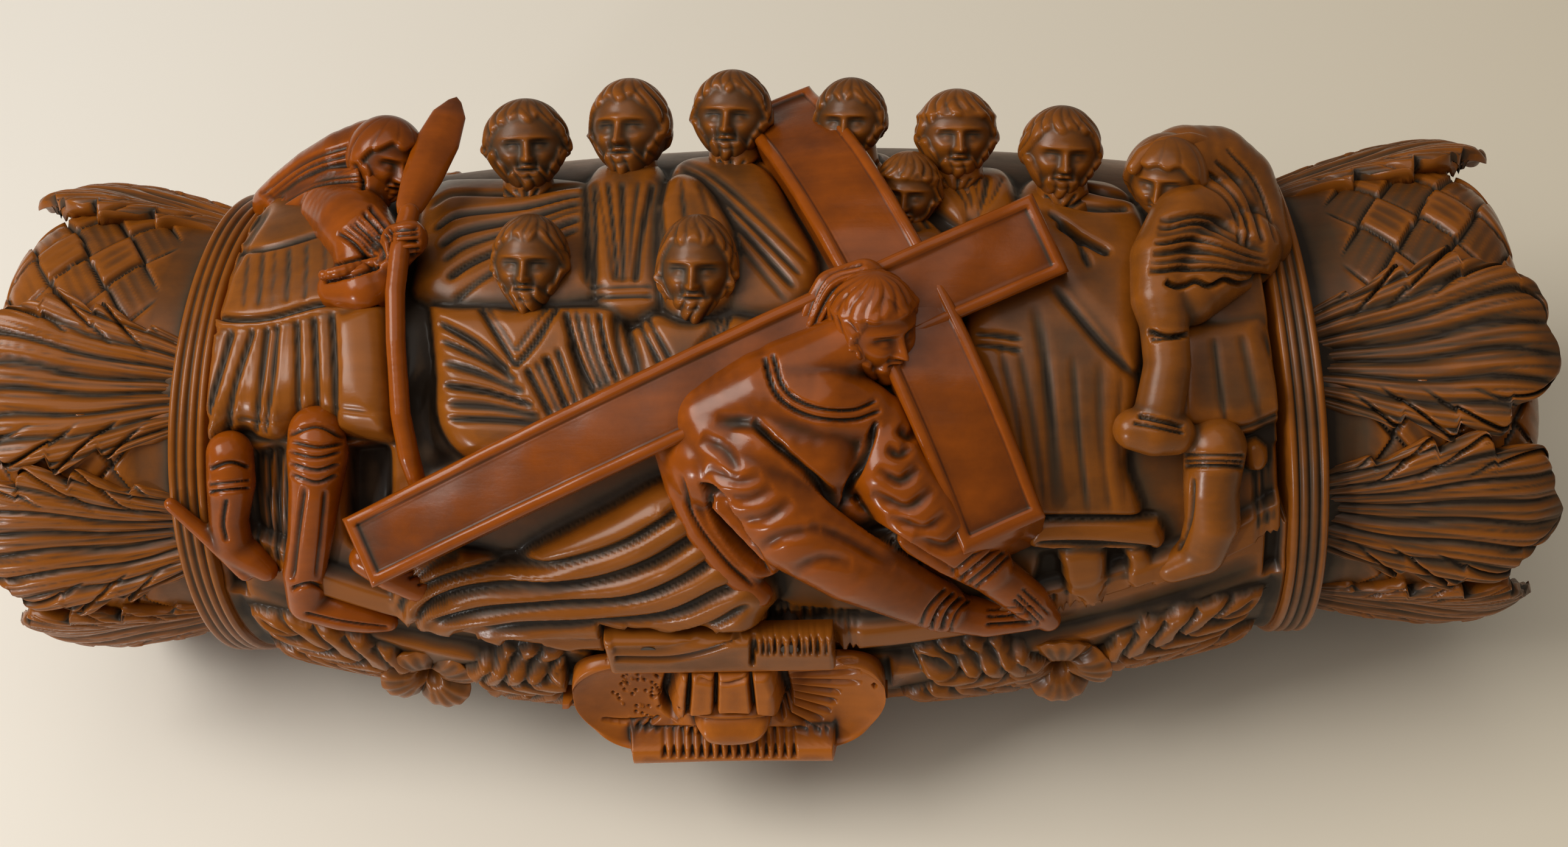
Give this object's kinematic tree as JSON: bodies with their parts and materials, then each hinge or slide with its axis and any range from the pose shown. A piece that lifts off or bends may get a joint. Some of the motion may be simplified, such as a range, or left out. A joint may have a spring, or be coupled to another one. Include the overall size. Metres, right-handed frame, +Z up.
{
  "type": "snuff box",
  "caption": "Carved nut snuff box with a hinged lid, a relief figure scene, leafy end caps, a garland on the belly and a ribbed thumbpiece.",
  "frame": {"origin": "on the table below the nut's long axis, at the middle of the flat that the box rests on", "axes": "+X along the nut to the right as seen from the front, +Y towards the hinge at the back, +Z up"},
  "size_m": [0.0902, 0.0386, 0.0362],
  "materials": {
    "nut_hull": "wax polished, carved",
    "nut_lid": "wax polished, carved",
    "nut_caps": "wax polished, carved",
    "nut_plugs": "turned, polished",
    "dowel_wood": "bare",
    "brass": "dull",
    "nut_thumbpiece": "worn smooth, glossy",
    "dark_pin": "darkened"
  },
  "bodies": {
    "case": {"hull": "nut_hull", "end_cap_left": "nut_caps", "end_cap_right": "nut_caps", "end_plug_left": "nut_plugs", "end_plug_right": "nut_plugs", "end_dowels_left": "dowel_wood", "end_dowels_right": "dowel_wood", "hinge_pin": "brass"},
    "lid": {"lid": "nut_lid", "thumbpiece": "nut_thumbpiece", "thumbpiece_pins": "dark_pin"}
  },
  "joints": [
    {"name": "lid_hinge", "type": "hinge", "parent": "case", "child": "lid", "pos_m": [0, 0.0172, 0.0161], "axis": [-1, 0, 0], "range_deg": [0, 100]}
  ]
}
